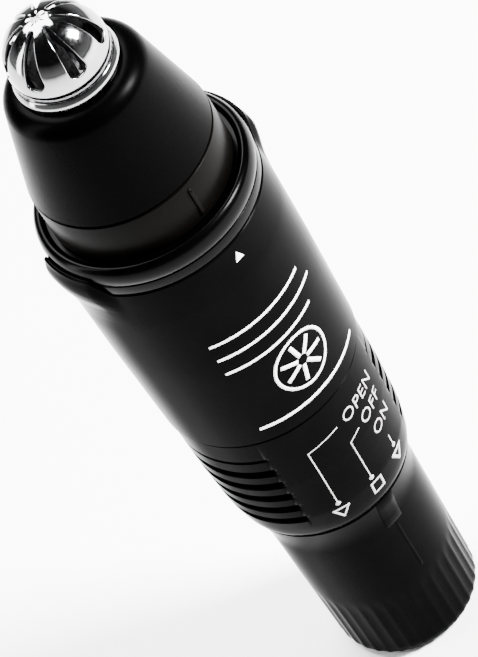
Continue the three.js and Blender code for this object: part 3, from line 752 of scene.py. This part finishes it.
def slot_outline(grow):
    """The teardrop as (azimuth, polar) points that match sector_frame one to one, grown by a margin."""
    degrees = math.degrees(1 / DOME_R)
    small, wide = (half + grow for half in SLOT_HALF)
    bottom = SLOT_POLAR[1] - SLOT_HALF[1] * degrees * SLOT_END
    top = SLOT_POLAR[0] + SLOT_HALF[0] * degrees
    points = []
    for i in range(ACROSS_STEPS):
        a = math.pi * (1 + i / ACROSS_STEPS)
        points.append(slot_point(wide * math.cos(a), bottom - wide * degrees * SLOT_END * math.sin(a)))
    for i in range(SIDE_STEPS):
        t = i / SIDE_STEPS
        points.append(slot_point(mix(wide, small, t), mix(bottom, top, t)))
    for i in range(ACROSS_STEPS):
        a = math.pi * i / ACROSS_STEPS
        points.append(slot_point(small * math.cos(a), top - small * degrees * math.sin(a)))
    for i in range(SIDE_STEPS):
        t = 1 - i / SIDE_STEPS
        points.append(slot_point(-mix(wide, small, t), mix(bottom, top, t)))
    return points


def dome_point(azimuth, polar, sunk=0.0):
    """A point of the dome, sunk below its face. The face of the hub carries a low rosette."""
    a = math.radians(polar)
    radius = DOME_R - sunk
    if sunk == 0 and polar < HUB_POLAR:
        petal = 0.5 - 0.5 * math.cos(math.radians(SLOTS * azimuth))
        radius -= ROSETTE_DEPTH * petal * math.sin(math.pi * polar / HUB_POLAR)
    return on_ring(radius * math.sin(a), azimuth, DOME_CENTRE + radius * math.cos(a))


def slot_wall():
    """(margin round the slot, depth below the face) from the face over a rounded edge to the inside."""
    angles = [math.radians(90 * i / SLOT_EDGE_STEPS) for i in range(SLOT_EDGE_STEPS + 1)]
    lips = [(SLOT_EDGE * (1 - math.sin(a)), SLOT_EDGE * (1 - math.cos(a))) for a in angles]
    return lips + [(0, DOME_WALL * 0.6), (0, DOME_WALL)]


def loop_between(start, end, t, turn_by, sunk=0.0):
    """Points on the dome, part of the way from one loop to another."""
    pairs = zip(start, end)
    return [dome_point(turn_by + mix(a0, a1, t), mix(p0, p1, t), sunk) for (a0, p0), (a1, p1) in pairs]


def bridge(bm, upper, lower, material_index=0):
    """Joins two closed rows of points with faces."""
    for i in range(len(upper)):
        k = (i + 1) % len(upper)
        bm.faces.new([upper[i], upper[k], lower[k], lower[i]]).material_index = material_index


def blade_sector(bm, turn_by):
    """One slot and the metal round it, on the face and on the inside."""
    edge = sector_frame()
    rim = slot_outline(slot_wall()[0][0])
    loops = []
    for ring in range(RINGS):
        loops.append(loop_between(edge, rim, ring / RINGS, turn_by))
    for grow, sunk in slot_wall():
        loops.append([dome_point(turn_by + a, p, sunk) for a, p in slot_outline(grow)])
    walls = len(loops)
    inner = slot_outline(0)
    for ring in range(1, RINGS + 1):
        loops.append(loop_between(inner, edge, ring / RINGS, turn_by, DOME_WALL))
    rows = [[bm.verts.new(p) for p in loop] for loop in loops]
    # The deep half of the slot wall and the inside of the dome take the painted shade
    for number, (upper, lower) in enumerate(zip(rows, rows[1:])):
        bridge(bm, upper, lower, INSIDE if number >= walls - 2 else OUTSIDE)


def build_outer_blade():
    bm = bmesh.new()
    for number in range(SLOTS):
        blade_sector(bm, SLOT_PHASE + SECTOR * number)
    azimuths = [
        SLOT_PHASE + SECTOR * (number - 0.5 + i / ACROSS_STEPS)
        for number in range(SLOTS)
        for i in range(ACROSS_STEPS)
    ]
    for sunk, side in ((0.0, OUTSIDE), (DOME_WALL, INSIDE)):
        polars = [HUB_POLAR * row / HUB_ROWS for row in range(1, HUB_ROWS + 1)]
        hub = [[bm.verts.new(dome_point(a, polar, sunk)) for a in azimuths] for polar in polars]
        pole = bm.verts.new(dome_point(0, 0, sunk))
        for upper, lower in zip(hub, hub[1:]):
            bridge(bm, upper, lower, side)
        for i in range(len(azimuths)):
            bm.faces.new([pole, hub[0][i], hub[0][(i + 1) % len(azimuths)]]).material_index = side
    shelf = BEZEL_TOP + 0.1 * MM
    inside = DOME_R - DOME_WALL
    outline = [
        (DOME_R, DOME_CENTRE),
        (DOME_R, shelf + 0.08 * MM),
        (DOME_R - 0.08 * MM, shelf),
        (SKIRT_R, shelf),
        (SKIRT_R, BLADE_FOOT),
        (SKIRT_R - DOME_WALL, BLADE_FOOT),
        (SKIRT_R - DOME_WALL, shelf + 0.3 * MM),
        (inside, shelf + 0.6 * MM),
        (inside, DOME_CENTRE),
    ]
    foot = [[bm.verts.new(dome_point(a, RIM_POLAR)) for a in azimuths]]
    foot += [[bm.verts.new(on_ring(radius, a, height)) for a in azimuths] for radius, height in outline]
    foot.append([bm.verts.new(dome_point(a, RIM_POLAR, DOME_WALL)) for a in azimuths])
    last_outside = 5  # the row of faces across the skirt's foot
    for row, (upper, lower) in enumerate(zip(foot, foot[1:])):
        bridge(bm, upper, lower, INSIDE if row > last_outside else OUTSIDE)
    blade = place(bm, "dome_blade", CHROME, "head", ["outer_blade"], sharp=DOME_SHARP_DEG)
    # The second material paints shade on the inside of the dome
    blade.data.materials.append(BLADE_INSIDE_PAINTED_SHADE)


# ---- Printed marks ----
INK_PROUD = 0.03 * MM
INK_THICK = 0.02 * MM
INK_STEP = 0.4 * MM  # longest plate along a line
DOT_POINTS = 20
LETTER_SPACING = 1.06
LETTER_THINNING = -0.004  # against the size of the letters


def stroke(bm, points, width, surface, closed=False):
    """Adds a line of (arc length, height) points, wrapped round the body, as thin raised plates."""
    pairs = list(zip(points, points[1:] + points[:1])) if closed else list(zip(points, points[1:]))
    for (x0, z0), (x1, z1) in pairs:
        along = Vector((x1 - x0, z1 - z0))
        length = along.length
        along.normalize()
        side = Vector((-along.y, along.x)) * width / 2
        start = Vector((x0, z0)) - along * width / 2
        count = max(1, math.ceil((length + width) / INK_STEP))
        rows = []
        for i in range(count + 1):
            p = start + along * (length + width) * i / count
            rows.append([plate_vert(bm, p + side * s, surface) for s in (1, -1)])
        for a, b in zip(rows, rows[1:]):
            bm.faces.new([a[0], a[1], b[1], b[0]])


def plate_vert(bm, flat, surface):
    """A vertex at (arc length, height), wrapped round the body just proud of it."""
    radius = surface(flat.y)
    return bm.verts.new(on_ring(radius + INK_PROUD, math.degrees(flat.x / radius), flat.y))


def circle(centre, radius, count):
    """(arc length, height) points round a circle."""
    angles = [2 * math.pi * i / count for i in range(count)]
    return [(centre[0] + radius * math.cos(a), centre[1] + radius * math.sin(a)) for a in angles]


def disc(bm, centre, radius, surface):
    """Adds a filled dot."""
    bm.faces.new([plate_vert(bm, Vector(flat), surface) for flat in circle(centre, radius, DOT_POINTS)])


def word(bm, text, azimuth, height, size, surface):
    """Adds a word whose lower left corner is at an azimuth and height, wrapped round the body."""
    curve = bpy.data.curves.new("word", "FONT")
    curve.body = text
    curve.size = size
    curve.space_character = LETTER_SPACING
    curve.offset = LETTER_THINNING * size
    source = bpy.data.objects.new("word", curve)
    bpy.context.scene.collection.objects.link(source)
    flat = bpy.data.meshes.new_from_object(source.evaluated_get(bpy.context.evaluated_depsgraph_get()))
    start = math.radians(azimuth) * surface(height)
    added = bmesh.new()
    added.from_mesh(flat)
    bmesh.ops.triangulate(added, faces=added.faces)
    bmesh.ops.subdivide_edges(added, edges=added.edges, cuts=1)
    made = {}
    for vert in added.verts:
        made[vert] = plate_vert(bm, Vector((start + vert.co.x, height + vert.co.y)), surface)
    for face in added.faces:
        bm.faces.new([made[vert] for vert in face.verts])
    added.free()
    bpy.data.objects.remove(source)
    bpy.data.curves.remove(curve)
    bpy.data.meshes.remove(flat)


def printed(bm, name, material):
    """Finishes a set of printed marks as thin closed plates on the housing."""
    piece = place(bm, name, material, "housing")
    ink = piece.modifiers.new("ink", "SOLIDIFY")
    ink.thickness = INK_THICK
    ink.offset = -1


def build_switch_marks():
    """Three positions of the switch: a symbol and dot for each, and a line to its word."""
    r = sleeve_radius(31.3 * MM)
    mark_z = 32.2 * MM
    half = 1.0 * MM
    line = 0.28 * MM
    leader = 0.16 * MM
    letters = 2.6 * MM
    at = {deg: math.radians(deg) * r - 0.3 * MM for deg in (-25, 0, 25)}
    bm = bmesh.new()
    for deg, weight in ((-25, line), (25, 1.5 * line)):
        x = at[deg]
        rise = 0.85 * half
        triangle = [(x - half, mark_z + rise), (x + half, mark_z + rise), (x, mark_z - rise)]
        stroke(bm, triangle, weight, sleeve_radius, closed=True)
    corners = ((-1, -1), (1, -1), (1, 1), (-1, 1))
    square = [(sx * 0.8 * half, mark_z + sz * 0.95 * half) for sx, sz in corners]
    stroke(bm, square, line, sleeve_radius, closed=True)
    dot_z = 34.2 * MM
    for x in at.values():
        disc(bm, (x, dot_z), 0.34 * MM, sleeve_radius)
    word_x = math.radians(-1.5) * r
    to_open = [(word_x - 0.5 * MM, 45.3 * MM), (at[-25], 44.6 * MM), (at[-25], dot_z)]
    to_off = [(1.5 * MM, 42.2 * MM), (at[0], 41.6 * MM), (at[0], dot_z)]
    to_on = [(at[25], 36.0 * MM), (at[25], dot_z)]
    for points in (to_open, to_off, to_on):
        stroke(bm, points, leader, sleeve_radius)
    word(bm, "OPEN", 1.5, 44.5 * MM, letters, sleeve_radius)
    word(bm, "OFF", 11, 41.5 * MM, letters, sleeve_radius)
    word(bm, "ON", 14.5, 38.2 * MM, letters, sleeve_radius)
    printed(bm, "switch_marks", SWITCH_PRINT)


def build_barrel_marks():
    """Plain rules and a rosette in place of the maker's printing."""
    bm = bmesh.new()
    for low, high, z in ((-36, 24, 68.8), (-36, 30, 66.2), (-36, 20, 63.6)):
        ends = [(math.radians(deg) * BARREL_R, z * MM) for deg in (low, high)]
        stroke(bm, ends, 0.4 * MM, barrel_radius)
    centre = 58.4 * MM
    for i in range(SLOTS):
        a = 2 * math.pi * i / SLOTS
        ray = [(d * math.cos(a), centre + d * math.sin(a)) for d in (1.0 * MM, 2.9 * MM)]
        stroke(bm, ray, 0.55 * MM, barrel_radius)
    stroke(bm, circle((0, centre), 3.9 * MM, 40), 0.4 * MM, barrel_radius, closed=True)
    ends = [(math.radians(deg) * BARREL_FOOT_R, 52.4 * MM) for deg in (-38, 38)]
    stroke(bm, ends, 0.45 * MM, barrel_radius)
    printed(bm, "barrel_marks", PRINT)


# ---- Blade spring, which the cutter squeezes when pressed; here it keeps one length ----
SPRING_SHOULDER = 6.7 * MM  # the coupling's shoulder above its foot
SPRING_GAP = 0.1 * MM


def build_blade_spring():
    """A coil between the coupling and the cutter's hub. It rides on the rotor."""
    wire, radius = 0.22 * MM, 2.35 * MM
    turns, steps, sides = 4, 112, 10
    seat, hub = heights("drive_coupling")[0] + SPRING_SHOULDER, heights("cutter_hub")[0]
    low, high = seat + wire + SPRING_GAP, hub - wire - SPRING_GAP
    bm = bmesh.new()
    rings = []
    for step in range(steps + 1):
        azimuth = 360 * turns * step / steps
        ring = []
        for side in range(sides):
            a = 2 * math.pi * side / sides
            height = mix(low, high, step / steps) + wire * math.sin(a)
            ring.append(bm.verts.new(on_ring(radius + wire * math.cos(a), azimuth, height)))
        rings.append(ring)
    for upper, lower in zip(rings, rings[1:]):
        bridge(bm, upper, lower)
    bm.faces.new(rings[0])
    bm.faces.new(rings[-1])
    spring = place(bm, "blade_coil", STEEL, "rotor", ["blade_spring"])
    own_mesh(spring)


# ---- Battery, seen when the body is lifted off ----
def build_battery():
    low, high = heights("battery")
    radius = reach("battery")
    button = 2.75 * MM
    body_top = high - 1.0 * MM
    profile = rounded(
        [
            (0, low, 0),
            (radius - 1.2 * MM, low, 0.3 * MM),
            (radius - 1.0 * MM, low + 0.4 * MM, 0.1 * MM),
            (radius, low + 0.6 * MM, 0.4 * MM),
            (radius, body_top, 0.6 * MM),
            (button, body_top, 0.15 * MM),
            (button, high, 0.35 * MM),
            (0, high, 0),
        ],
        4,
    )
    turned("battery_cell", profile, CELL, "rear_cap", ["battery"], segments=96)


# ---- Studio ----
LENS = 300
SENSOR = 36
CAMERA_AZIMUTH = -20
CAMERA_ELEVATION = 46
CAMERA_ROLL = 33
CAMERA_DISTANCE = 634.5 * MM
AIM = Vector((0.21 * MM, -0.08 * MM, 55.8 * MM))
LIGHT_AIM = Vector((0, 0, 60 * MM))
SOFTBOXES = [  # name, azimuth, elevation, distance, width and height in metres, power in watts
    ("left_softbox", -122, 25, 0.8, (0.15, 0.9), 9),
    ("right_softbox", 48, 38, 0.8, (0.2, 0.25), 80),
    ("top_softbox", 165, 62, 0.9, (0.7, 0.6), 60),
]
FLOOR_HALF = 3.0
FLOOR_DROP = 0.05 * MM  # keeps the floor just below the foot of the cap
SKY_HORIZON, SKY_HIGH = 0.6, 0.02  # the sky darkens upwards
SKY_HIGH_AT = 0.4


def build_camera():
    """A long lens above the front left, rolled so that the body leans to the upper left."""
    data = bpy.data.cameras.new("camera")
    data.lens = LENS
    data.sensor_width = SENSOR
    camera = bpy.data.objects.new("camera", data)
    bpy.context.scene.collection.objects.link(camera)
    back = on_sphere(CAMERA_AZIMUTH, CAMERA_ELEVATION)
    right = Vector((0, 0, 1)).cross(back).normalized()
    up = back.cross(right)
    upright = Matrix((right, up, back)).transposed()
    turn_roll = Matrix.Rotation(math.radians(CAMERA_ROLL), 3, "Z")
    facing = (upright @ turn_roll.inverted()).to_4x4()
    camera.matrix_world = Matrix.Translation(AIM + back * CAMERA_DISTANCE) @ facing
    bpy.context.scene.camera = camera


def softbox(name, azimuth, elevation, distance, size, power):
    """A rectangular light that faces the middle of the body."""
    data = bpy.data.lights.new(name, "AREA")
    data.shape = "RECTANGLE"
    data.size = size[0]
    data.size_y = size[1]
    data.energy = power
    light = bpy.data.objects.new(name, data)
    bpy.context.scene.collection.objects.link(light)
    back = on_sphere(azimuth, elevation)
    facing = back.to_track_quat("Z", "Y").to_matrix().to_4x4()
    light.matrix_world = Matrix.Translation(LIGHT_AIM + back * distance) @ facing


def build_floor():
    bm = bmesh.new()
    bmesh.ops.create_grid(bm, x_segments=8, y_segments=8, size=FLOOR_HALF)
    mesh = bpy.data.meshes.new("floor")
    bm.to_mesh(mesh)
    bm.free()
    material, nodes, links, shader = new_material("floor")
    cloud = noise(nodes, links, 3.0)
    links.new(tint(nodes, links, cloud, grey(0.88), grey(0.9)), shader.inputs["Base Color"])
    shader.inputs["Roughness"].default_value = 0.8
    mesh.materials.append(material)
    floor = bpy.data.objects.new("floor", mesh)
    floor.location.z = -FLOOR_DROP
    bpy.context.scene.collection.objects.link(floor)


def build_world():
    world = bpy.data.worlds.new("studio")
    bpy.context.scene.world = world
    world.use_nodes = True
    nodes, links = world.node_tree.nodes, world.node_tree.links
    direction = nodes.new("ShaderNodeSeparateXYZ")
    links.new(nodes.new("ShaderNodeTexCoord").outputs["Generated"], direction.inputs["Vector"])
    sky = nodes.new("ShaderNodeValToRGB")
    sky.color_ramp.elements[0].position = 0.0
    sky.color_ramp.elements[1].position = SKY_HIGH_AT
    sky.color_ramp.elements[0].color = (*grey(SKY_HORIZON), 1)
    sky.color_ramp.elements[1].color = (*grey(SKY_HIGH), 1)
    links.new(direction.outputs["Z"], sky.inputs["Fac"])
    links.new(sky.outputs["Color"], nodes["Background"].inputs["Color"])
    nodes["Background"].inputs["Strength"].default_value = 1.0


def build_studio():
    build_floor()
    build_world()
    for values in SOFTBOXES:
        softbox(*values)
    build_camera()


build_studio()
dress_frame()
build_rear_cap()
build_grip_sleeve()
build_barrel()
build_pointer()
build_collar()
build_head_collar()
build_head_cap()
build_bezel()
build_outer_blade()
build_switch_marks()
build_barrel_marks()
build_battery()
build_blade_spring()
